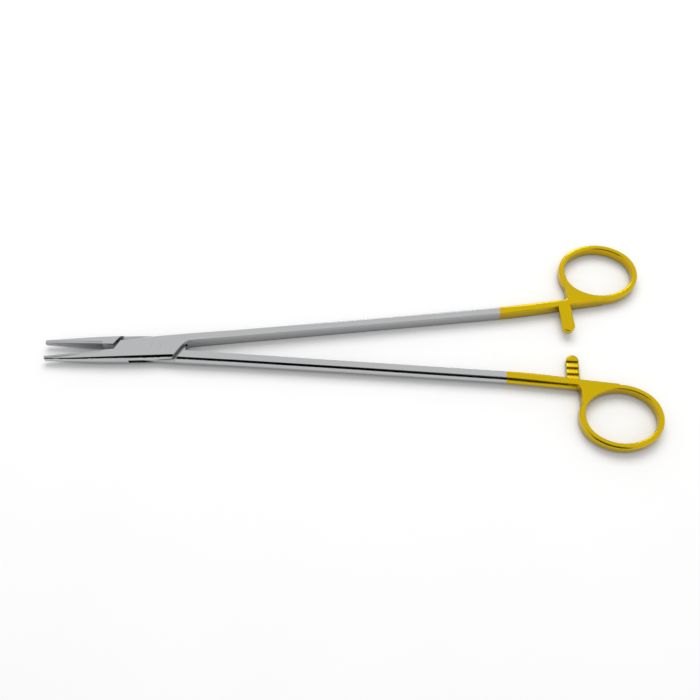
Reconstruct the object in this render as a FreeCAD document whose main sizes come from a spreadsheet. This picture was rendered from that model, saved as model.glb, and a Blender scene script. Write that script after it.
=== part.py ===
# Ring-handled needle holder with a box lock, a ratchet and serrated jaw inserts
import FreeCAD, Part
import math
import os
import Sketcher

# Millimetres. Every piece is drawn with the instrument closed: the pivot on the Z axis, the jaws along -X,
# the rings along +X. Its placement then opens it by the rest angle and lifts it off the table.
# A half is drawn with its jaw on the -Y side and its shank on the +Y side. The tongue half is the mirror
# image of that, so its outlines are drawn with Y turned round.
SIZES = {
    # Pose in which the instrument lies
    "rest_angle": 3.7,
    # Jaws
    "jaw_length": 42.65,
    "jaw_mid_reach": 28.5,
    "jaw_root_reach": 14.0,
    "tip_half_width": 1.05,
    "jaw_mid_half_width": 2.35,
    "jaw_root_half_width": 3.35,
    "tip_half_height": 1.1,
    "jaw_root_half_height": 2.75,
    "jaw_tip_crown": 0.5,
    "jaw_root_crown": 1.15,
    "tip_plan_radius": 1.15,
    "tip_side_radius": 0.8,
    # Box lock
    "box_half_width": 3.95,
    "box_half_height": 2.8,
    "box_crown": 1.3,
    "box_end_reach": 12.5,
    "box_end_half_width": 4.3,
    "box_end_half_height": 2.72,
    "slot_half_height": 0.9,
    "tongue_play": 0.05,
    "front_edge_reach": 15.8,
    "front_edge_slope": 1.4,
    "front_gap": 0.6,
    "rear_edge_reach": 9.1,
    "rear_edge_slope": 1.34,
    "rear_edge_top": 1.0,
    "rear_edge_radius": 6.4,
    "rear_gap": 1.9,
    "slot_front_reach": 15.2,
    "slot_rear_reach": 11.5,
    "slot_end_slope": 1.0,
    "slot_front_play": 0.7,
    "neck_reach": 10.9,
    "neck_half_width": 1.5,
    "pin_radius": 1.9,
    "pin_play": 0.05,
    # Shanks
    "shank_start_reach": 30.0,
    "shank_start_half_width": 4.42,
    "shank_mid_reach": 78.0,
    "plating_reach": 131.0,
    "gap_at_box": 1.33,
    "gap_at_plating": 4.08,
    "gap_at_ratchet": 6.15,
    "shank_bend_radius": 305.0,
    "shank_width": 2.48,
    "shank_crown": 1.2,
    "shank_mid_half_height": 2.45,
    "plating_half_height": 2.3,
    "shank_bow_half_width": 7.15,
    "shank_end_to_ring": 22.1,
    "shank_end_half_width": 7.95,
    "shank_end_half_height": 2.18,
    "shank_end_crown": 1.0,
    # Finger rings
    "ring_reach": 174.1,
    "ring_offset": 20.35,
    "ring_half_length": 13.35,
    "ring_half_width": 10.95,
    "ring_end_radius": 9.7,
    "ring_band": 2.15,
    "ring_half_height": 2.15,
    "ring_outer_round": 0.8,
    "ring_inner_bevel": 0.3,
    "ring_root_half_height": 2.03,
    "web_to_ring": 14.2,
    "web_corner_radius": 2.3,
    "web_half_width": 8.3,
    # Ratchet
    "bar_to_ring": 18.7,
    "bar_width": 4.7,
    "upper_bar_tip": 5.6,
    "lower_bar_tip": 5.25,
    "bar_play": 0.05,
    "tooth_count": 3,
    "tooth_pitch": 2.65,
    "tooth_depth": 0.6,
    "tooth_ramp": 2.4,
    "tooth_end": 2.65,
    # Jaw inserts
    "insert_length": 22.15,
    "insert_thickness": 0.85,
    "bite_gap": 0.05,
    "serration_pitch": 0.55,
    "serration_depth": 0.14,
}

# Outlines that cut right through the side of a piece end this far out
CLEAR = 12.5

# How far forms that join run into each other, and how far cuts run past the end of a piece
OVERLAP = 1.0


class Size:
    """A size together with the expression that binds it to the spreadsheet."""

    def __init__(self, text, value):
        self.text = text
        self.value = value

    def __add__(self, other):
        other = size(other)
        return Size(f"({self.text} + {other.text})", self.value + other.value)

    def __sub__(self, other):
        other = size(other)
        return Size(f"({self.text} - {other.text})", self.value - other.value)

    def __mul__(self, other):
        other = size(other)
        return Size(f"({self.text} * {other.text})", self.value * other.value)

    def __truediv__(self, other):
        other = size(other)
        return Size(f"({self.text} / {other.text})", self.value / other.value)

    def __neg__(self):
        return Size(f"(0 - {self.text})", -self.value)


def size(thing):
    """The named size of the sheet, a plain number as a size, or a size as it is."""
    if isinstance(thing, Size):
        return thing
    if isinstance(thing, str):
        return Size(f"sizes.{thing}", float(SIZES[thing]))
    return Size(f"({float(thing)!r})", float(thing))


def bind(thing, name, value):
    thing.setExpression(name, size(value).text)


def make_sheet(doc):
    sheet = doc.addObject("Spreadsheet::Sheet", "sizes")
    for number, (alias, value) in enumerate(SIZES.items(), 1):
        sheet.set(f"A{number}", alias)
        sheet.set(f"B{number}", str(value))
        sheet.setAlias(f"B{number}", alias)
    doc.recompute()
    return sheet


# Sketches
def origin_feature(body, role):
    for feature in body.Origin.OriginFeatures:
        if feature.Role == role:
            return feature
    raise ValueError(f"{body.Name} has no {role}")


def new_sketch(body, name, plane, offset=0.0, turn=None):
    """A sketch on one of the body's own planes, moved off it along the plane's normal."""
    sketch = body.newObject("Sketcher::SketchObject", name)
    sketch.AttachmentSupport = [(origin_feature(body, plane), "")]
    sketch.MapMode = "FlatFace"
    place = FreeCAD.Vector(0, 0, size(offset).value)
    sketch.AttachmentOffset = FreeCAD.Placement(place, turn or FreeCAD.Rotation())
    bind(sketch, "AttachmentOffset.Base.z", offset)
    return sketch


def add_arc(sketch, start, end, radius):
    """Arc from start to end, with its centre left of the way for a radius above zero, else right."""
    chord = end.sub(start)
    left = FreeCAD.Vector(-chord.y, chord.x).normalize()
    rise = math.sqrt(radius.value**2 - (chord.Length / 2) ** 2)
    side = 1 if radius.value > 0 else -1
    centre = start.add(end).multiply(0.5).add(left.multiply(rise * side))
    first, last = (start, end) if side > 0 else (end, start)
    circle = Part.Circle(centre, FreeCAD.Vector(0, 0, 1), abs(radius.value))
    angles = [math.atan2(p.y - centre.y, p.x - centre.x) for p in (first, last)]
    index = sketch.addGeometry(Part.ArcOfCircle(circle, *angles), False)
    fixed = sketch.addConstraint(Sketcher.Constraint("Radius", index, abs(radius.value)))
    bind(sketch, f"Constraints[{fixed}]", radius if side > 0 else -radius)
    return (index, 1, 2) if side > 0 else (index, 2, 1)


def outline(sketch, points):
    """Closed outline. A point is (x, y), or (x, y, radius) when an arc of that radius leads to it."""
    places = [(size(point[0]), size(point[1])) for point in points]
    corners = [FreeCAD.Vector(x.value, y.value) for x, y in places]
    pieces = []
    for number, point in enumerate(points):
        start, end = corners[number - 1], corners[number]
        if len(point) == 3:
            pieces.append(add_arc(sketch, start, end, size(point[2])))
        else:
            pieces.append((sketch.addGeometry(Part.LineSegment(start, end), False), 1, 2))
    for number, (piece, _, last) in enumerate(pieces):
        following, first, _ = pieces[(number + 1) % len(pieces)]
        sketch.addConstraint(Sketcher.Constraint("Coincident", piece, last, following, first))
        for kind, value in zip(("DistanceX", "DistanceY"), places[number]):
            fixed = sketch.addConstraint(Sketcher.Constraint(kind, -1, 1, piece, last, value.value))
            bind(sketch, f"Constraints[{fixed}]", value)


def circle_at_origin(sketch, radius):
    circle = Part.Circle(FreeCAD.Vector(), FreeCAD.Vector(0, 0, 1), size(radius).value)
    index = sketch.addGeometry(circle, False)
    sketch.addConstraint(Sketcher.Constraint("Coincident", index, 3, -1, 1))
    fixed = sketch.addConstraint(Sketcher.Constraint("Radius", index, size(radius).value))
    bind(sketch, f"Constraints[{fixed}]", radius)


def for_side(points, side):
    """The outline as drawn for the box half, or its mirror image for the tongue half."""
    turned = []
    for point in points:
        upright = tuple(size(number) * side for number in point[1:])
        turned.append((point[0],) + upright)
    return turned


# Features
def pad(body, name, sketch, length, way="Symmetric"):
    feature = body.newObject("PartDesign::Pad", name)
    feature.Profile = sketch
    feature.SideType = "Symmetric" if way == "Symmetric" else "One side"
    feature.Reversed = way == "Back"
    feature.Length = size(length).value
    bind(feature, "Length", length)
    return feature


def pocket(body, name, sketch, length=None, way="Symmetric"):
    """Cut the sketch out of the body, over the length or right through."""
    feature = body.newObject("PartDesign::Pocket", name)
    feature.Profile = sketch
    feature.SideType = "Symmetric" if way == "Symmetric" else "One side"
    feature.Reversed = way == "Back"
    if length is None:
        feature.Type = "ThroughAll"
    else:
        feature.Length = size(length).value
        bind(feature, "Length", length)
    return feature


def row(body, name, original, axis, pitch, count, back=False):
    """Repeat a feature along one of the body's axes."""
    pattern = body.newObject("PartDesign::LinearPattern", name)
    pattern.Originals = [original]
    pattern.Direction = (origin_feature(body, axis), [""])
    pattern.Reversed = back
    bind(pattern, "Length", size(pitch) * (count - 1.0))
    bind(pattern, "Occurrences", count)
    body.Tip = pattern
    return pattern


def picked_edges(base, wanted):
    base.Document.recompute()
    names = [f"Edge{n}" for n, edge in enumerate(base.Shape.Edges, 1) if wanted(edge)]
    if not names:
        raise ValueError(f"no edge of {base.Name} is picked")
    return (base, names)


def fillet(body, name, base, radius, wanted):
    """Round those edges of the base that the test picks out."""
    picked = picked_edges(base, wanted)
    feature = body.newObject("PartDesign::Fillet", name)
    feature.Base = picked
    bind(feature, "Radius", radius)
    return feature


def bevel(body, name, base, width, wanted):
    """Bevel those edges of the base that the test picks out."""
    picked = picked_edges(base, wanted)
    feature = body.newObject("PartDesign::Chamfer", name)
    feature.Base = picked
    bind(feature, "Size", width)
    return feature


# The blank: the closed instrument, from the jaw tips to inside the rings, before it is parted
def gap_along_shank(reach):
    """Half the gap between the closed shanks, which widens evenly from the box to the plating."""
    share = (size(reach) - "box_end_reach") / (size("plating_reach") - "box_end_reach")
    return size("gap_at_box") + (size("gap_at_plating") - "gap_at_box") * share


def jaw_half_height(reach):
    """Half the height of the jaw, which tapers evenly from its root to its tip."""
    share = (size(reach) - "jaw_root_reach") / (size("jaw_length") - "jaw_root_reach")
    return size("jaw_root_half_height") + (size("tip_half_height") - "jaw_root_half_height") * share


def section(body, name, reach, half_width, half_height, crown):
    """Cross-section with a flat top and bottom and with sides that bulge out by the crown."""
    sketch = new_sketch(body, f"Section{name}", "YZ_Plane", reach)
    width, height, bulge = size(half_width), size(half_height), size(crown)
    radius = (bulge * bulge + height * height) / (bulge * 2.0)
    corners = [(width, -height), (width, height, radius), (-width, height), (-width, -height, radius)]
    outline(sketch, corners)
    return sketch


def blank(body):
    """Two lofts that meet at the end of the box: the smooth jaws and box, and the straight-sided shanks."""
    mid_crown = (size("jaw_tip_crown") + "jaw_root_crown") / 2.0
    mid_height = jaw_half_height("jaw_mid_reach")
    box_end = ("box_end_reach", "box_end_half_width", "box_end_half_height", "shank_crown")
    jaws = [
        ("Tip", -size("jaw_length"), "tip_half_width", "tip_half_height", "jaw_tip_crown"),
        ("JawMiddle", -size("jaw_mid_reach"), "jaw_mid_half_width", mid_height, mid_crown),
        ("JawRoot", -size("jaw_root_reach"), "jaw_root_half_width", "jaw_root_half_height", "jaw_root_crown"),
        ("Pivot", 0.0, "box_half_width", "box_half_height", "box_crown"),
        ("BoxEnd", *box_end),
    ]
    start_height = (size("box_end_half_height") + "shank_mid_half_height") / 2.0
    mid_width = gap_along_shank("shank_mid_reach") + "shank_width"
    plated_width = size("gap_at_plating") + "shank_width"
    shank_end = size("ring_reach") - "shank_end_to_ring"
    bow = (shank_end + "plating_reach") / 2.0
    bow_height = (size("plating_half_height") + "shank_end_half_height") / 2.0
    root = size("ring_reach") - size("ring_half_length") / 2.0
    root_width = size("gap_at_ratchet") + "shank_width"
    shanks = [
        ("ShankFoot", *box_end),
        ("ShankStart", "shank_start_reach", "shank_start_half_width", start_height, "shank_crown"),
        ("ShankMiddle", "shank_mid_reach", mid_width, "shank_mid_half_height", "shank_crown"),
        ("Plating", "plating_reach", plated_width, "plating_half_height", "shank_crown"),
        ("ShankBow", bow, "shank_bow_half_width", bow_height, "shank_crown"),
        ("ShankEnd", shank_end, "shank_end_half_width", "shank_end_half_height", "shank_end_crown"),
        ("RingRoot", root, root_width, "ring_root_half_height", "shank_end_crown"),
    ]
    for name, stations, ruled in (("JawBlank", jaws, False), ("ShankBlank", shanks, True)):
        sketches = [section(body, *station) for station in stations]
        loft = body.newObject("PartDesign::AdditiveLoft", name)
        loft.Profile = sketches[0]
        loft.Sections = sketches[1:]
        loft.Ruled = ruled


# The finger ring: an oval of two end arcs and two side arcs
def ring_side_radius():
    """Radius of the hole's side arcs, which meet its end arcs without a corner."""
    end_radius = size("ring_end_radius")
    half_width = size("ring_half_width")
    centre = size("ring_half_length") - end_radius
    squares = centre * centre + half_width * half_width - end_radius * end_radius
    return squares / ((half_width - end_radius) * 2.0)


def oval(body, name, side, growth):
    """Sketch of the oval, grown outward, with its long axis level once the instrument lies open."""
    turn = FreeCAD.Rotation(FreeCAD.Vector(0, 0, -side), SIZES["rest_angle"])
    sketch = new_sketch(body, name, "XY_Plane", 0.0, turn)
    bind(sketch, "AttachmentOffset.Base.x", "ring_reach")
    bind(sketch, "AttachmentOffset.Base.y", size("ring_offset") * side)
    sketch.setExpression("AttachmentOffset.Rotation.Angle", "sizes.rest_angle * 1 deg")
    end_radius = size("ring_end_radius")
    side_radius = ring_side_radius()
    half_width = size("ring_half_width")
    centre = size("ring_half_length") - end_radius
    spread = side_radius - end_radius
    x = centre + (end_radius + growth) * centre / spread
    y = (end_radius + growth) * (side_radius - half_width) / spread
    end_arc = end_radius + growth
    side_arc = side_radius + growth
    outline(sketch, [(x, -y, side_arc), (x, y, end_arc), (-x, y, side_arc), (-x, -y, end_arc)])
    return sketch


def ring(body, side):
    edge = oval(body, "RingEdge", side, size("ring_band"))
    plate = pad(body, "Ring", edge, size("ring_half_height") * 2.0)
    half = SIZES["ring_half_height"]

    def rim(edge):
        return abs(abs(edge.BoundBox.ZMax) - half) < 1e-6 and edge.BoundBox.ZLength < 1e-6

    return fillet(body, "RingRound", plate, "ring_outer_round", rim)


def finger_hole(body, side):
    """Cut the hole and bevel its two rims."""
    hole = pocket(body, "FingerHole", oval(body, "FingerHoleEdge", side, size(0.0)))
    radii = (SIZES["ring_end_radius"], ring_side_radius().value)

    def rim(edge):
        radius = getattr(edge.Curve, "Radius", 0.0)
        return edge.BoundBox.ZLength < 1e-6 and any(abs(radius - wanted) < 1e-6 for wanted in radii)

    return bevel(body, "FingerHoleBevel", hole, "ring_inner_bevel", rim)


def ring_end(body, side):
    """Flat web that joins the shank and the ring, with its hollow outer corner."""
    sketch = new_sketch(body, "WebEdge", "XY_Plane")
    corner = size("web_corner_radius")
    edge = size("ring_reach") - "web_to_ring"
    start = size("ring_reach") - "bar_to_ring"
    foot = size("web_half_width")
    inner = size("gap_at_plating") - OVERLAP
    inside_hole = size("ring_offset") - size("ring_half_width") / 2.0
    top = size("ring_offset") - size("ring_half_width") / 4.0
    points = [
        (start, foot),
        (start, inner),
        ("ring_reach", inner),
        ("ring_reach", inside_hole),
        (edge + "ring_band", top),
        (edge, top),
        (edge, foot + corner),
        (edge - corner, foot, -corner),
    ]
    outline(sketch, for_side(points, side))
    return pad(body, "Web", sketch, size("ring_half_height") * 2.0)


# Cuts that part the blank into one half
def jaw_space(body, side, reach, slope):
    """Clear away the other half's jaw, and the seat of the insert."""
    sketch = new_sketch(body, "JawSpaceEdge", "XY_Plane")
    face = -size("bite_gap")
    seat = face - "insert_thickness"
    tip = -(size("jaw_length") + OVERLAP)
    heel = size("insert_length") - "jaw_length"
    points = [
        (tip, CLEAR),
        (tip, seat),
        (heel, seat),
        (heel, face),
        (-size(reach), face),
        (-size(reach) + (size(CLEAR) - face) / slope, CLEAR),
    ]
    outline(sketch, for_side(points, side))
    return pocket(body, "JawSpace", sketch)


def shank_space(body, side, box_edge):
    """Clear away the other half's shank. The box edge leads up to the start of the inner face."""
    sketch = new_sketch(body, "ShankSpaceEdge", "XY_Plane")
    ring_foot = size("ring_offset") - "ring_half_width" - "ring_band"
    bar_end = size("ring_reach") - "bar_to_ring" + "bar_width"
    points = box_edge + [
        ("plating_reach", "gap_at_plating"),
        (bar_end, "gap_at_ratchet", "shank_bend_radius"),
        ("ring_reach", ring_foot),
        ("ring_reach", -CLEAR),
    ]
    outline(sketch, for_side(points, side))
    return pocket(body, "ShankSpace", sketch)


def box_rear_edge():
    """Rear edge of the box wall: a slope that ends in an arc along the inner face of the shank."""
    reach = size("rear_edge_reach")
    top = size("rear_edge_top")
    return [
        (reach - (size(CLEAR) - top) / "rear_edge_slope", -CLEAR),
        (reach, -top),
        ("box_end_reach", "gap_at_box", -size("rear_edge_radius")),
    ]


def tongue_rear_edge():
    """Rear edge of the tongue, which keeps clear of the end of the slot."""
    reach = size("neck_reach")
    neck = size("neck_half_width")
    return [
        (reach - (size(CLEAR) - neck) / "slot_end_slope", -CLEAR),
        (reach, -neck),
        (reach, "gap_at_box"),
    ]


def slot(body, side):
    """Slot through the box from side to side, closed at the jaw and at the shank."""
    sketch = new_sketch(body, "SlotEdge", "XY_Plane")
    face = -size("bite_gap")
    front = -size("slot_front_reach")
    rear = size("slot_rear_reach")
    open_front = -(size("front_edge_reach") + OVERLAP)
    points = [
        (open_front, CLEAR),
        (open_front, face),
        (front, face),
        (front + (size(CLEAR) + face) / "slot_end_slope", -CLEAR),
        (rear, -CLEAR),
        (rear, "gap_at_box"),
        (rear - (size(CLEAR) - "gap_at_box") / "slot_end_slope", CLEAR),
    ]
    outline(sketch, for_side(points, side))
    return pocket(body, "Slot", sketch, size("slot_half_height") * 2.0)


def thin_tongue(body, side):
    """Take the two walls' thickness off the tongue, from its front shoulder to its rear shoulder and neck."""
    half = size("slot_half_height") - "tongue_play"
    front = -(size("front_edge_reach") + "front_gap")
    rear = size("rear_edge_reach") + "rear_gap"
    front_run = size(CLEAR) / "front_edge_slope"
    top = size("rear_edge_top")
    past_neck = size("neck_reach") + OVERLAP
    points = [
        (front - front_run, CLEAR),
        (front + front_run, -CLEAR),
        (past_neck, -CLEAR),
        (past_neck, "gap_at_box"),
        (rear - (size("gap_at_box") - top) / "rear_edge_slope", "gap_at_box"),
        (rear - (size(CLEAR) - top) / "rear_edge_slope", CLEAR),
    ]
    for name, level, way in (("Upper", half, "Back"), ("Lower", -half, "On")):
        sketch = new_sketch(body, f"Tongue{name}Edge", "XY_Plane", level)
        outline(sketch, for_side(points, side))
        last = pocket(body, f"Tongue{name}Face", sketch, None, way)
    return last


def pin_hole(body, radius):
    sketch = new_sketch(body, "PinHoleEdge", "XY_Plane")
    circle_at_origin(sketch, radius)
    return pocket(body, "PinHole", sketch)


def round_tip(body, side):
    """Round the tip, seen from above and seen from the side."""
    tip = -size("jaw_length")
    corner = size("tip_plan_radius")
    widening = (size("jaw_mid_half_width") - "tip_half_width") / (size("jaw_length") - "jaw_mid_reach")
    edge = -(size("tip_half_width") + "jaw_tip_crown" + widening * corner)
    plan = new_sketch(body, "TipPlanEdge", "XY_Plane")
    points = [
        (tip, edge + corner),
        (tip + corner, edge, corner),
        (tip + corner, edge - OVERLAP),
        (tip - OVERLAP, edge - OVERLAP),
        (tip - OVERLAP, edge + corner),
    ]
    outline(plan, for_side(points, side))
    pocket(body, "TipPlan", plan)
    bend = size("tip_side_radius")
    height = jaw_half_height(size("jaw_length") - bend)
    profile = new_sketch(body, "TipSideEdge", "XZ_Plane")
    for level in (1.0, -1.0):
        points = [
            (tip, (height - bend) * level),
            (tip + bend, height * level, -bend * level),
            (tip + bend, (height + OVERLAP) * level),
            (tip - OVERLAP, (height + OVERLAP) * level),
            (tip - OVERLAP, (height - bend) * level),
        ]
        outline(profile, points)
    return pocket(body, "TipSide", profile)


# The ratchet
def ratchet_bar(body, side, level, tip):
    """Half-height bar across the gap with sawtooth steps on its inner face; level is 1 above, -1 below."""
    play = size("bar_play") * level
    sketch = new_sketch(body, "BarEdge", "XY_Plane", play)
    near = size("ring_reach") - "bar_to_ring"
    far = near + "bar_width"
    radius = size("bar_width") / 2.0
    shoulder = radius - tip
    root = size("gap_at_ratchet") + OVERLAP
    points = [(near, root), (near, shoulder), (far, shoulder, radius), (far, root)]
    outline(sketch, for_side(points, side))
    pad(body, "Bar", sketch, size("ring_half_height") - "bar_play", "On" if level > 0 else "Back")
    tooth = new_sketch(body, "ToothEdge", "YZ_Plane", near + radius)
    start = -size("tooth_end")
    steps = [
        (start * side, play),
        ((start + "tooth_ramp") * side, play),
        (start * side, play + size("tooth_depth") * level),
    ]
    outline(tooth, steps)
    groove = pocket(body, "Tooth", tooth, size("bar_width") + OVERLAP)
    count = size("tooth_count")
    return row(body, "Teeth", groove, "Y_Axis", "tooth_pitch", count, side < 0)


# The pieces
def lay_open(body, side):
    """Turn the piece from the closed position to the one in which it lies, with the box on the table."""
    lift = FreeCAD.Vector(0, 0, SIZES["box_half_height"])
    turn = FreeCAD.Rotation(FreeCAD.Vector(0, 0, side), SIZES["rest_angle"])
    body.Placement = FreeCAD.Placement(lift, turn)
    bind(body, "Placement.Base.z", "box_half_height")
    body.setExpression("Placement.Rotation.Angle", "sizes.rest_angle * 1 deg")


def new_body(doc, label):
    body = doc.addObject("PartDesign::Body", label)
    body.Label = label
    return body


def make_box_half(doc):
    body = new_body(doc, "box_half")
    side = 1.0
    ring(body, side)
    blank(body)
    ring_end(body, side)
    shank_space(body, side, box_rear_edge())
    jaw_space(body, side, "front_edge_reach", "front_edge_slope")
    slot(body, side)
    pin_hole(body, "pin_radius")
    round_tip(body, side)
    ratchet_bar(body, side, 1.0, "upper_bar_tip")
    finger_hole(body, side)
    lay_open(body, side)
    return body


def make_tongue_half(doc):
    body = new_body(doc, "tongue_half")
    side = -1.0
    ring(body, side)
    blank(body)
    ring_end(body, side)
    shank_space(body, side, tongue_rear_edge())
    jaw_space(body, side, size("slot_front_reach") - "slot_front_play", "slot_end_slope")
    thin_tongue(body, side)
    pin_hole(body, size("pin_radius") + "pin_play")
    round_tip(body, side)
    ratchet_bar(body, side, -1.0, "lower_bar_tip")
    finger_hole(body, side)
    lay_open(body, side)
    return body


def make_insert(doc, label, side):
    """Flat insert on the gripping face of the jaw, with its face cut crosswise into small points."""
    body = new_body(doc, label)
    tip = -size("jaw_length")
    heel = tip + "insert_length"
    tip_height = size("tip_half_height")
    heel_height = jaw_half_height(-heel)
    sketch = new_sketch(body, "InsertEdge", "XZ_Plane", size("bite_gap") * side)
    outline(sketch, [(tip, -tip_height), (heel, -heel_height), (heel, heel_height), (tip, tip_height)])
    pad(body, "Insert", sketch, "insert_thickness", "On" if side > 0 else "Back")
    round_tip(body, side)
    serrations(body, side, tip, heel, heel_height)
    lay_open(body, side)
    return body


def serrations(body, side, tip, heel, heel_height):
    """Two rows of slanting grooves that cross each other."""
    step = size("serration_pitch") * math.sqrt(2.0)
    depth = size("serration_depth")
    half = size("serration_pitch") / 2.0
    count = int((SIZES["insert_length"] + 2 * heel_height.value) / step.value)
    across = math.sqrt(0.5)
    for name, slant in (("Rising", 1.0), ("Falling", -1.0)):
        over = FreeCAD.Vector(across, -slant * across, 0)
        out = FreeCAD.Vector(0, 0, -1)
        along = over.cross(out)
        turn = FreeCAD.Rotation(over, out, along, "XYZ")
        groove = new_sketch(body, f"{name}GrooveEdge", "XZ_Plane", size("bite_gap") * side, turn)
        bind(groove, "AttachmentOffset.Base.x", tip - heel_height + step / 2.0)
        outline(groove, [(-half, 0.0), (0.0, -depth * side), (half, 0.0)])
        cut = pocket(body, f"{name}Groove", groove)
        row(body, f"{name}Grooves", cut, "X_Axis", step, count)


def make_pin(doc):
    body = new_body(doc, "pivot_pin")
    sketch = new_sketch(body, "PinEdge", "XY_Plane")
    circle_at_origin(sketch, "pin_radius")
    pad(body, "Pin", sketch, size("box_half_height") * 2.0)
    lay_open(body, 1.0)
    return body


def check(doc):
    for thing in doc.Objects:
        if "Invalid" in thing.State or "Error" in thing.State:
            raise ValueError(f"{thing.Name} is {thing.State}")


def main():
    doc = FreeCAD.newDocument("needle_holder")
    make_sheet(doc)
    pieces = [
        make_box_half(doc),
        make_tongue_half(doc),
        make_insert(doc, "box_insert", 1.0),
        make_insert(doc, "tongue_insert", -1.0),
        make_pin(doc),
    ]
    doc.recompute()
    check(doc)
    os.makedirs("parts", exist_ok=True)
    for piece in pieces:
        shape = piece.Shape
        if shape.isNull() or not shape.isValid() or len(shape.Solids) != 1:
            raise ValueError(f"{piece.Label} is not one sound solid")
        shape.exportStep(f"parts/{piece.Label}.step")
        print(piece.Label, "volume", round(shape.Volume, 2), "faces", len(shape.Faces))


main()
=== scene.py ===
import math

import bpy
from bpy.props import FloatProperty, FloatVectorProperty, IntProperty, PointerProperty
from mathutils import Matrix, Vector


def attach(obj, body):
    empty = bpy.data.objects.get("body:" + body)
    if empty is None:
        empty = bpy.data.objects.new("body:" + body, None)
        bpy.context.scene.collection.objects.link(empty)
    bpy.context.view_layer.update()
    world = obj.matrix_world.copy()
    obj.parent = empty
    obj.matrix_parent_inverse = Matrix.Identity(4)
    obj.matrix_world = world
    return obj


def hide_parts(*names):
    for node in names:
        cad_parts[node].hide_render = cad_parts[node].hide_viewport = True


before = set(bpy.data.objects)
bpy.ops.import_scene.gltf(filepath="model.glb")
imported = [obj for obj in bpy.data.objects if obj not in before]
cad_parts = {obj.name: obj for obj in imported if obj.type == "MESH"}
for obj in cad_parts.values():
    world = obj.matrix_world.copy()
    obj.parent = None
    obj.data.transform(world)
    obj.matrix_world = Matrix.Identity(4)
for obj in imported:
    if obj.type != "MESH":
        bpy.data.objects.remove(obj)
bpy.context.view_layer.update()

bl_info = {
    "name": "Needle holder looks",
    "version": (1, 0, 0),
    "blender": (4, 5, 0),
    "location": "3D View > Sidebar > Needle Holder",
    "description": "Steel, gold plating, cross-cut jaw inserts and a plain studio for the needle holder",
    "category": "Object",
}

MM = 0.001

# Brightness of the studio
SEEN_LIGHT = 1.0
WORLD_LIGHT = 0.4
NEAR_GLOW = 0.3
FAR_GLOW = 0.64


def linear(code):
    """Linear colour of an sRGB hex code."""
    channels = [int(code[n:n + 2], 16) / 255 for n in (1, 3, 5)]
    return tuple(c / 12.92 if c <= 0.04045 else ((c + 0.055) / 1.055) ** 2.4 for c in channels)


def length(name, description, default):
    """Property for a length, stored in metres and stated here in millimetres."""
    return FloatProperty(name=name, description=description, default=default * MM, unit="LENGTH", precision=5)


def angle(name, description, default):
    return FloatProperty(name=name, description=description, default=math.radians(default), subtype="ANGLE")


def colour(name, description, code):
    return FloatVectorProperty(
        name=name, description=description, default=linear(code), size=3, min=0, max=1, subtype="COLOR"
    )


class HolderSettings(bpy.types.PropertyGroup):
    rest_angle: angle("Rest angle", "Turn of each half from the closed position", 3.7)
    mid_height: length("Middle height", "Height of the middle plane above the table", 2.8)
    plating_reach: length("Plating reach", "Distance from the pivot to where the gold starts", 132.3)
    edge_round: length("Edge round", "Softness of the ground steel edges", 0.16)
    gold_round: length("Gold round", "Softness of the polished edges of the rings and bars", 0.9)
    jaw_round: length("Jaw round", "Softness of the edges at the tips of the jaws", 0.5)
    flush_radius: length("Flush radius", "Distance from the pivot inside which the pin is ground flush", 2.6)

    jaw_length: length("Jaw length", "Distance from the pivot to the tip of the jaws", 42.65)
    insert_length: length("Insert length", "Length of the hard-metal insert", 22.15)
    insert_thickness: length("Insert thickness", "Thickness of the insert", 0.85)
    bite_gap: length("Bite gap", "Distance of the insert's face from the middle plane", 0.05)
    tip_half_height: length("Tip half height", "Half the insert's height at the tip", 1.1)
    heel_half_height: length("Heel half height", "Half the insert's height at its heel", 2.37)
    tip_side_radius: length("Tip side radius", "Rounding of the tip seen from the side", 0.8)
    tip_plan_radius: length("Tip plan radius", "Rounding of the tip seen from above", 1.15)
    tip_corner: length("Tip corner", "Distance from the middle plane to the tip's round corner", 0.505)
    cut_pitch: length("Cut pitch", "Distance between two grooves of the cross cut", 0.55)
    cut_depth: length("Cut depth", "Depth of the grooves", 0.13)
    cut_grain: length("Cut grain", "Distance between the points that draw the cross cut", 0.1)
    cut_seed: IntProperty(name="Cut seed", description="Seed of the small differences in groove depth", default=4)

    steel: colour("Steel", "Satin stainless steel", "#B6B7B8")
    gold: colour("Gold", "Gold plating", "#CAAB10")
    hard_metal: colour("Hard metal", "Ground hard metal of the inserts", "#B9BABD")
    floor: colour("Floor", "Matt white table", "#F4F4F4")
    # Reach of the painted shadow: within it the floor's glow is dimmed beside the steel.
    painted_shadow_reach: length("Shadow reach", "Distance over which the floor's glow fades beside the steel", 22.0)

    aim: FloatVectorProperty(
        name="Aim", description="Point the camera looks at", default=(0.07346, -0.00118, 0.00235), subtype="XYZ"
    )
    camera_distance: length("Camera distance", "Distance from the camera to its aim", 370.66)
    camera_elevation: angle("Camera elevation", "Height of the camera above the horizon", 60.683)
    camera_turn: angle("Camera turn", "Turn of the camera round the instrument", 1.337)
    camera_roll: angle("Camera roll", "Turn of the picture", 0.445)


# Shader and geometry nodes
def add(tree, kind, inputs=None, **settings):
    """Add a node with its settings. An input takes a value, or another node's output to link."""
    node = tree.nodes.new(kind)
    for name, value in settings.items():
        setattr(node, name, value)
    for name, value in (inputs or {}).items():
        if isinstance(value, bpy.types.NodeSocket):
            tree.links.new(value, node.inputs[name])
        else:
            node.inputs[name].default_value = value
    return node


def maths(tree, operation, *values):
    """Math node's output; each value is a number or another output."""
    return add(tree, "ShaderNodeMath", dict(enumerate(values)), operation=operation).outputs[0]


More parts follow.
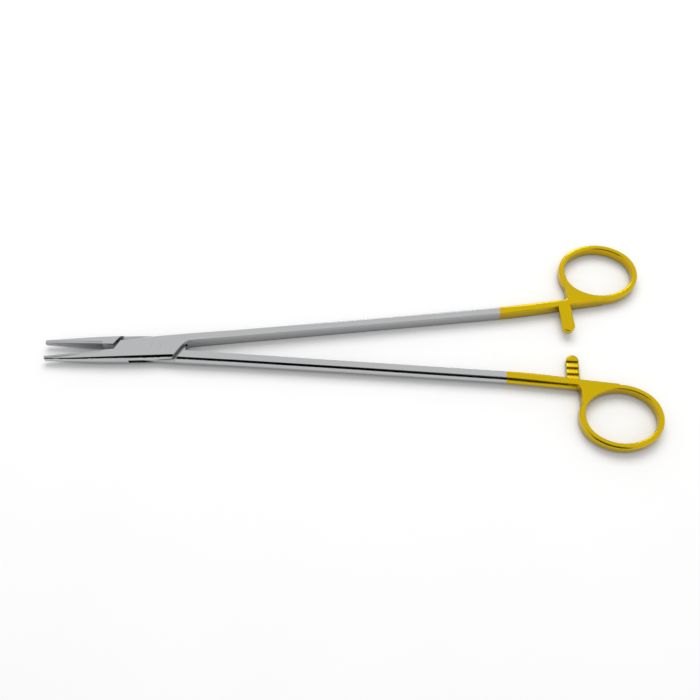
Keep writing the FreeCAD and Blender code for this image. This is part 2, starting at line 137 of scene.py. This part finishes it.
def metal(tree, base, roughness, rough_spread, grain, place, normal):
    """Metal with fine brush strokes and a slightly uneven shine, with painted shade: its colour goes dark inside
    narrow joints.
    """
    strokes = add(tree, "ShaderNodeMapping", {"Vector": place, "Scale": grain}).outputs[0]
    brush = add(tree, "ShaderNodeTexNoise", {"Vector": strokes, "Scale": 1.0, "Detail": 3.0}).outputs["Fac"]
    cloud = add(tree, "ShaderNodeTexNoise", {"Vector": place, "Scale": 1 / (9 * MM), "Detail": 2.0}).outputs["Fac"]
    uneven = maths(tree, "MULTIPLY_ADD", cloud, rough_spread, roughness - rough_spread / 2)
    shine = maths(tree, "MULTIPLY_ADD", brush, rough_spread, uneven)
    relief = {"Height": brush, "Strength": 0.08, "Distance": 0.02 * MM, "Normal": normal}
    bump = add(tree, "ShaderNodeBump", relief).outputs[0]
    # Painted shade: ambient occlusion within 1.5 mm darkens the base colour towards #161616 in joints and grooves,
    # and a little where the metal is near the floor.
    painted_shade_ao = add(tree, "ShaderNodeAmbientOcclusion", {"Distance": 1.5 * MM}, samples=8).outputs["AO"]
    light = {"Factor": maths(tree, "POWER", painted_shade_ao, 1.5), 6: (*linear("#161616"), 1), 7: (*base, 1)}
    tone = add(tree, "ShaderNodeMix", light, data_type="RGBA").outputs[2]
    shader = {"Base Color": tone, "Metallic": 1.0, "Roughness": shine, "Normal": bump}
    return add(tree, "ShaderNodeBsdfPrincipled", shader).outputs[0]


def new_material(name):
    """Empty material and its node tree."""
    material = bpy.data.materials.new(name)
    material.use_nodes = True
    material.node_tree.nodes.clear()
    return material, material.node_tree


def finish_material(tree, shader):
    add(tree, "ShaderNodeOutputMaterial", {"Surface": shader})


def satin_steel(tree, settings, place, normal):
    """Forged stainless steel, belt-ground along its length and bead-blasted satin: a soft sheen with faint lines."""
    grain = (1 / (4.0 * MM), 1 / (0.12 * MM), 1 / (0.12 * MM))
    return metal(tree, settings.steel, 0.1, 0.04, grain, place, normal)


def bright_gold(tree, settings, place, normal):
    """Gold plating over polished steel: deep yellow, with sharper highlights than the satin steel."""
    grain = (1 / (2.5 * MM), 1 / (0.25 * MM), 1 / (0.25 * MM))
    return metal(tree, settings.gold, 0.2, 0.06, grain, place, normal)


def polished_normal(tree, settings, place):
    """Normal that softens the polished edges, but not the rim of the pin's hole, which is ground flush."""
    level = add(tree, "ShaderNodeVectorMath", {0: place, 1: (1, 1, 0)}, operation="MULTIPLY").outputs[0]
    reach = add(tree, "ShaderNodeVectorMath", {0: level}, operation="LENGTH").outputs["Value"]
    away = maths(tree, "GREATER_THAN", reach, settings.flush_radius)
    flat = add(tree, "ShaderNodeNewGeometry").outputs["Normal"]
    along = add(tree, "ShaderNodeSeparateXYZ", {"Vector": place}).outputs["X"]
    to_tip = {"Value": along, "From Min": -settings.jaw_length, "From Max": -settings.jaw_length / 2}
    to_tip.update({"To Min": settings.jaw_round, "To Max": settings.edge_round})
    to_ring = {"Value": along, "From Min": settings.plating_reach, "From Max": settings.plating_reach + 10 * MM}
    to_ring.update({"To Min": settings.edge_round, "To Max": settings.gold_round})
    widths = [add(tree, "ShaderNodeMapRange", span).outputs[0] for span in (to_tip, to_ring)]
    radius = maths(tree, "MAXIMUM", *widths)
    soft = add(tree, "ShaderNodeBevel", {"Radius": radius}, samples=8).outputs[0]
    return add(tree, "ShaderNodeMix", {"Factor": away, 4: flat, 5: soft}, data_type="VECTOR").outputs[1]


def half_material(name, settings, side):
    """Satin steel that changes sharply to gold plating where the plating bath reached."""
    material, tree = new_material(name)
    place = add(tree, "ShaderNodeTexCoord").outputs["Object"]
    turn = {"Vector": place, "Angle": -side * settings.rest_angle}
    closed = add(tree, "ShaderNodeVectorRotate", turn, rotation_type="Z_AXIS").outputs[0]
    reach = add(tree, "ShaderNodeSeparateXYZ", {"Vector": closed}).outputs["X"]
    edge = {
        "Value": reach,
        "From Min": settings.plating_reach - 0.05 * MM,
        "From Max": settings.plating_reach + 0.05 * MM,
    }
    plated = add(tree, "ShaderNodeMapRange", edge).outputs[0]
    normal = polished_normal(tree, settings, closed)
    steel = satin_steel(tree, settings, closed, normal)
    gold = bright_gold(tree, settings, closed, normal)
    mixed = add(tree, "ShaderNodeMixShader", {"Fac": plated, 1: steel, 2: gold}).outputs[0]
    finish_material(tree, mixed)
    return material


def pin_material(settings):
    """The pin is ground flush with the box, so it has the same satin steel."""
    material, tree = new_material("pin_satin_stainless_steel")
    place = add(tree, "ShaderNodeTexCoord").outputs["Object"]
    normal = add(tree, "ShaderNodeNewGeometry").outputs["Normal"]
    finish_material(tree, satin_steel(tree, settings, place, normal))
    return material


def insert_material(settings):
    """Ground tungsten carbide: darker and duller than steel, with a fine speckle from sintering."""
    material, tree = new_material("ground_tungsten_carbide")
    place = add(tree, "ShaderNodeTexCoord").outputs["Object"]
    noise = {"Vector": place, "Scale": 1 / (0.08 * MM), "Detail": 2.0}
    speckle = add(tree, "ShaderNodeTexNoise", noise).outputs["Fac"]
    rough = maths(tree, "MULTIPLY_ADD", speckle, 0.2, 0.32)
    dark = tuple(c * 0.75 for c in settings.hard_metal)
    tint = {"Factor": speckle, 6: (*dark, 1), 7: (*settings.hard_metal, 1)}
    tone = add(tree, "ShaderNodeMix", tint, data_type="RGBA").outputs[2]
    shader = {"Base Color": tone, "Metallic": 1.0, "Roughness": rough}
    finish_material(tree, add(tree, "ShaderNodeBsdfPrincipled", shader).outputs[0])
    return material


# The cross-cut insert
def insert_inputs(settings):
    """The named inputs of the insert's node group, with their kinds and values."""
    return {
        "Length": ("NodeSocketFloat", settings.insert_length),
        "Thickness": ("NodeSocketFloat", settings.insert_thickness),
        "Tip Half Height": ("NodeSocketFloat", settings.tip_half_height),
        "Heel Half Height": ("NodeSocketFloat", settings.heel_half_height),
        "Side Radius": ("NodeSocketFloat", settings.tip_side_radius),
        "Plan Radius": ("NodeSocketFloat", settings.tip_plan_radius),
        "Corner": ("NodeSocketFloat", settings.tip_corner),
        "Bite Gap": ("NodeSocketFloat", settings.bite_gap),
        "Pitch": ("NodeSocketFloat", settings.cut_pitch),
        "Depth": ("NodeSocketFloat", settings.cut_depth),
        "Grain": ("NodeSocketFloat", settings.cut_grain),
        "Seed": ("NodeSocketInt", settings.cut_seed),
        "Material": ("NodeSocketMaterial", None),
    }


def insert_group(settings):
    """Node group of the insert, with its tip at X 0, its face towards +Y and its middle plane at Z 0."""
    tree = bpy.data.node_groups.new("CrossCutInsert", "GeometryNodeTree")
    tree.interface.new_socket("Geometry", in_out="OUTPUT", socket_type="NodeSocketGeometry")
    for name, (kind, _) in insert_inputs(settings).items():
        tree.interface.new_socket(name, in_out="INPUT", socket_type=kind)
    given = tree.nodes.new("NodeGroupInput").outputs

    columns = maths(tree, "DIVIDE", given["Length"], given["Grain"])
    rows = maths(tree, "DIVIDE", maths(tree, "MULTIPLY", given["Heel Half Height"], 2.0), given["Grain"])
    box_size = add(tree, "ShaderNodeCombineXYZ", {"X": given["Length"], "Y": 1.0, "Z": 2.0}).outputs[0]
    counts = {"Size": box_size, "Vertices X": columns, "Vertices Y": 2, "Vertices Z": rows}
    block = add(tree, "GeometryNodeMeshCube", counts).outputs["Mesh"]

    spot = add(tree, "ShaderNodeSeparateXYZ", {"Vector": tree.nodes.new("GeometryNodeInputPosition").outputs[0]})
    x = maths(tree, "ADD", spot.outputs["X"], maths(tree, "DIVIDE", given["Length"], 2.0))
    along = maths(tree, "DIVIDE", x, given["Length"])
    growth = maths(tree, "SUBTRACT", given["Heel Half Height"], given["Tip Half Height"])
    taper = maths(tree, "MULTIPLY_ADD", along, growth, given["Tip Half Height"])
    height = maths(tree, "SUBTRACT", taper, tip_loss(tree, x, given["Side Radius"]))
    z = maths(tree, "MULTIPLY", spot.outputs["Z"], height)

    face = maths(tree, "MULTIPLY", given["Bite Gap"], -1.0)
    seat = maths(tree, "SUBTRACT", face, given["Thickness"])
    outer = maths(tree, "ADD", given["Corner"], given["Plan Radius"])
    corner = maths(tree, "SUBTRACT", tip_loss(tree, x, given["Plan Radius"]), outer)
    back = maths(tree, "MAXIMUM", seat, corner)
    groove = maths(tree, "MAXIMUM", wave(tree, given, x, z, "ADD"), wave(tree, given, x, z, "SUBTRACT"))
    noise = {"Scale": 1 / (1.5 * MM), "Detail": 1.0, "W": given["Seed"]}
    uneven = add(tree, "ShaderNodeTexNoise", noise, noise_dimensions="4D").outputs[0]
    depth = maths(tree, "MULTIPLY", given["Depth"], maths(tree, "MULTIPLY_ADD", uneven, 0.3, 0.85))
    front = maths(tree, "SUBTRACT", face, maths(tree, "MULTIPLY", groove, depth))
    is_front = maths(tree, "GREATER_THAN", spot.outputs["Y"], 0.0)
    y = add(tree, "ShaderNodeMix", {"Factor": is_front, 2: back, 3: front}, data_type="FLOAT").outputs[0]

    moved = add(tree, "ShaderNodeCombineXYZ", {"X": x, "Y": y, "Z": z}).outputs[0]
    shaped = add(tree, "GeometryNodeSetPosition", {"Geometry": block, "Position": moved}).outputs[0]
    real = add(tree, "GeometryNodeRealizeInstances", {"Geometry": shaped}).outputs[0]
    coated = {"Geometry": real, "Material": given["Material"]}
    done = add(tree, "GeometryNodeSetMaterial", coated).outputs[0]
    add(tree, "NodeGroupOutput", {"Geometry": done})
    return tree


def tip_loss(tree, x, radius):
    """How much an arc of that radius takes off the side of the piece, at distance x from its tip."""
    short = maths(tree, "MAXIMUM", maths(tree, "SUBTRACT", radius, x), 0.0)
    squares = maths(tree, "SUBTRACT", maths(tree, "MULTIPLY", radius, radius), maths(tree, "MULTIPLY", short, short))
    return maths(tree, "SUBTRACT", radius, maths(tree, "SQRT", maths(tree, "MAXIMUM", squares, 0.0)))


def wave(tree, given, x, z, way):
    """One set of slanting V grooves: 0 on the crests and 1 at the bottoms."""
    slant = maths(tree, "MULTIPLY", given["Pitch"], math.sqrt(2))
    turns = maths(tree, "DIVIDE", maths(tree, way, x, z), slant)
    return maths(tree, "PINGPONG", maths(tree, "MULTIPLY", turns, 2.0), 1.0)


def run_group(name, group, values, material):
    """Evaluate the node group with those inputs and keep the result as a plain mesh."""
    carrier = bpy.data.objects.new(name, bpy.data.meshes.new(name))
    bpy.context.scene.collection.objects.link(carrier)
    modifier = carrier.modifiers.new(group.name, "NODES")
    modifier.node_group = group
    for socket in group.interface.items_tree:
        if socket.in_out == "INPUT":
            modifier[socket.identifier] = material if socket.name == "Material" else values[socket.name][1]
    shown = carrier.evaluated_get(bpy.context.evaluated_depsgraph_get())
    mesh = bpy.data.meshes.new_from_object(shown)
    carrier.modifiers.clear()
    carrier.data = mesh
    mesh.name = name
    if len(mesh.polygons) == 0:
        raise RuntimeError(f"{name} has no faces")
    return carrier


# The studio
def area_light(name, place, target, width, depth, power):
    """Soft rectangular lamp at a place, turned towards a target."""
    data = bpy.data.lights.new(name, "AREA")
    data.shape = "RECTANGLE"
    data.size = width
    data.size_y = depth
    data.energy = power
    lamp = bpy.data.objects.new(name, data)
    lamp.location = place
    lamp.rotation_euler = (Vector(target) - Vector(place)).to_track_quat("-Z", "Y").to_euler()
    bpy.context.scene.collection.objects.link(lamp)
    return lamp


def sheet(name, corners, faces, material):
    """Flat piece of the studio, such as the floor or a card."""
    mesh = bpy.data.meshes.new(name)
    mesh.from_pydata(corners, [], faces)
    mesh.materials.append(material)
    thing = bpy.data.objects.new(name, mesh)
    bpy.context.scene.collection.objects.link(thing)
    return thing


def paper_card(name, corners, faces, code):
    """Card of plain paper that only the polished metal sees, as the dark band along its edges."""
    material, tree = new_material(f"{name}_matt_paper")
    finish_material(tree, add(tree, "ShaderNodeBsdfDiffuse", {"Color": (*linear(code), 1)}).outputs[0])
    card = sheet(name, corners, faces, material)
    card.visible_camera = False
    card.visible_shadow = False
    card.visible_diffuse = False


def set_camera(settings):
    """Camera at the photo's viewing angle."""
    e = settings.camera_elevation
    back = Vector((0, -math.cos(e), math.sin(e)))
    right = Vector((1, 0, 0))
    up = back.cross(right)
    r = -settings.camera_roll
    rolled_right = right * math.cos(r) - up * math.sin(r)
    rolled_up = right * math.sin(r) + up * math.cos(r)
    axes = Matrix((rolled_right, rolled_up, back)).transposed()
    turned = Matrix.Rotation(-settings.camera_turn, 3, "Z") @ axes
    data = bpy.data.cameras.new("photo_camera")
    data.lens = 50
    data.sensor_width = 36
    data.clip_start = 0.01
    camera = bpy.data.objects.new("photo_camera", data)
    place = Vector(settings.aim) + turned.col[2] * settings.camera_distance
    camera.matrix_world = Matrix.Translation(place) @ turned.to_4x4()
    bpy.context.scene.collection.objects.link(camera)
    bpy.context.scene.camera = camera


def seen_white(tree):
    """1 for rays from the camera and for mirrored and refracted ones, which all see a white studio; else 0."""
    ray = add(tree, "ShaderNodeLightPath").outputs
    mirrored = maths(tree, "MAXIMUM", ray["Is Glossy Ray"], ray["Is Transmission Ray"])
    return maths(tree, "MAXIMUM", ray["Is Camera Ray"], mirrored)


def set_world():
    """A white studio to look at, which lights the floor with an even grey."""
    world = bpy.data.worlds.new("studio")
    bpy.context.scene.world = world
    world.use_nodes = True
    tree = world.node_tree
    tree.nodes.clear()
    white = add(tree, "ShaderNodeBackground", {"Color": (1, 1, 1, 1), "Strength": SEEN_LIGHT}).outputs[0]
    grey = add(tree, "ShaderNodeBackground", {"Color": (1, 1, 1, 1), "Strength": WORLD_LIGHT}).outputs[0]
    mixed = add(tree, "ShaderNodeMixShader", {"Fac": seen_white(tree), 1: grey, 2: white}).outputs[0]
    add(tree, "ShaderNodeOutputWorld", {"Surface": mixed})


def paper_material(settings):
    """Matt white paper: it takes the soft shadow of the lamp, and a glow for the eye, stronger far away, keeps it
    white; the glow is dimmed beside the steel, which paints a further shadow round it.
    """
    paper, tree = new_material("matt_white_paper")
    place = add(tree, "ShaderNodeTexCoord").outputs["Object"]
    noise = {"Vector": place, "Scale": 1 / (60 * MM), "Detail": 2.0}
    fibre = add(tree, "ShaderNodeTexNoise", noise).outputs["Fac"]
    shade = {"Factor": fibre, 6: (*settings.floor, 1), 7: (*linear("#F8F8F8"), 1)}
    tone = add(tree, "ShaderNodeMix", shade, data_type="RGBA").outputs[2]
    matt = add(tree, "ShaderNodeBsdfDiffuse", {"Color": tone}).outputs[0]
    # Painted shadow: ambient occlusion dims the glow near the steel.
    near = add(tree, "ShaderNodeAmbientOcclusion", {"Distance": settings.painted_shadow_reach}, samples=8).outputs["AO"]
    away = add(tree, "ShaderNodeVectorMath", {0: place}, operation="LENGTH").outputs["Value"]
    ramp = {"Value": away, "From Min": 0.3, "From Max": 1.2, "To Min": NEAR_GLOW, "To Max": FAR_GLOW}
    level = add(tree, "ShaderNodeMapRange", ramp).outputs[0]
    strength = maths(tree, "MULTIPLY", maths(tree, "MULTIPLY", seen_white(tree), near), level)
    glow = add(tree, "ShaderNodeEmission", {"Color": (1, 1, 1, 1), "Strength": strength}).outputs[0]
    finish_material(tree, add(tree, "ShaderNodeAddShader", {0: matt, 1: glow}).outputs[0])
    return paper


class HOLDER_OT_halves(bpy.types.Operator):
    """Give both halves satin steel and gold-plated ring ends"""

    bl_idname = "holder.halves"
    bl_label = "Halves"

    def execute(self, context):
        settings = context.scene.holder
        for node, side in (("box_half", 1), ("tongue_half", -1)):
            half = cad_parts[node]
            half.data.materials[0] = half_material(f"{node}_satin_steel_and_gold_plating", settings, side)
        return {"FINISHED"}


class HOLDER_OT_pin(bpy.types.Operator):
    """Give the pivot pin the steel of the box"""

    bl_idname = "holder.pin"
    bl_label = "Pivot pin"

    def execute(self, context):
        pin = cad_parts["pivot_pin"]
        pin.data.materials[0] = pin_material(context.scene.holder)
        return {"FINISHED"}


class HOLDER_OT_inserts(bpy.types.Operator):
    """Build the two cross-cut jaw inserts"""

    bl_idname = "holder.inserts"
    bl_label = "Jaw inserts"

    def execute(self, context):
        settings = context.scene.holder
        group = insert_group(settings)
        material = insert_material(settings)
        values = insert_inputs(settings)
        for node, side, body in (("box_insert", 1, "box_side"), ("tongue_insert", -1, "tongue_side")):
            insert = run_group(f"cross_cut_{node}", group, values, material)
            lift = Matrix.Translation((0, 0, settings.mid_height))
            opened = Matrix.Rotation(side * settings.rest_angle, 4, "Z")
            turned = Matrix.Rotation(math.pi if side < 0 else 0.0, 4, "X")
            tip = Matrix.Translation((-settings.jaw_length, 0, 0))
            insert.data.transform(lift @ opened @ turned @ tip)
            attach(insert, body)
            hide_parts(node)
        return {"FINISHED"}


class HOLDER_OT_stage(bpy.types.Operator):
    """Set up the floor, the soft studio light and the photo's camera"""

    bl_idname = "holder.stage"
    bl_label = "Studio"

    def execute(self, context):
        settings = context.scene.holder
        context.scene.view_settings.view_transform = "Standard"
        reach = 3.0
        corners = [(-reach, -reach, 0), (reach, -reach, 0), (reach, reach, 0), (-reach, reach, 0)]
        sheet("floor", corners, [(0, 1, 2, 3)], paper_material(settings))

        left, right = -0.5, 0.4
        near, over = -0.55, -0.12
        low, edge, high, top = 0.03, 0.35, 0.62, 0.9
        lower = [(left, near, low), (right, near, low), (right, near, edge), (left, near, edge)]
        upper = [(left, near, edge), (right, near, edge), (right, near, high), (left, near, high)]
        upper += [(right, over, top), (left, over, top)]
        paper_card("dark_card", lower, [(0, 1, 2, 3)], "#0B0B0B")
        paper_card("grey_card", upper, [(0, 1, 2, 3), (3, 2, 4, 5)], "#7C7C7C")

        middle = (0.07, 0, 0)
        soft_box = area_light("soft_box", (0.12, 0.52, 0.84), middle, 0.8, 0.6, 5.2)
        soft_box.visible_glossy = False
        back_light = area_light("back_light", (0.2, 0.95, 0.62), middle, 0.38, 0.3, 1.6)
        back_light.visible_diffuse = False
        set_world()
        set_camera(settings)
        return {"FINISHED"}


OPERATORS = (HOLDER_OT_halves, HOLDER_OT_pin, HOLDER_OT_inserts, HOLDER_OT_stage)


class HOLDER_PT_panel(bpy.types.Panel):
    bl_idname = "HOLDER_PT_panel"
    bl_label = "Needle Holder"
    bl_space_type = "VIEW_3D"
    bl_region_type = "UI"
    bl_category = "Needle Holder"

    def draw(self, context):
        for operator in OPERATORS:
            self.layout.operator(operator.bl_idname)


def register():
    for kind in (HolderSettings, *OPERATORS, HOLDER_PT_panel):
        bpy.utils.register_class(kind)
    bpy.types.Scene.holder = PointerProperty(type=HolderSettings)


def unregister():
    del bpy.types.Scene.holder
    for kind in (HOLDER_PT_panel, *reversed(OPERATORS), HolderSettings):
        bpy.utils.unregister_class(kind)


def main():
    register()
    bpy.ops.holder.halves()
    bpy.ops.holder.pin()
    bpy.ops.holder.inserts()
    bpy.ops.holder.stage()


if __name__ == "__main__":
    main()
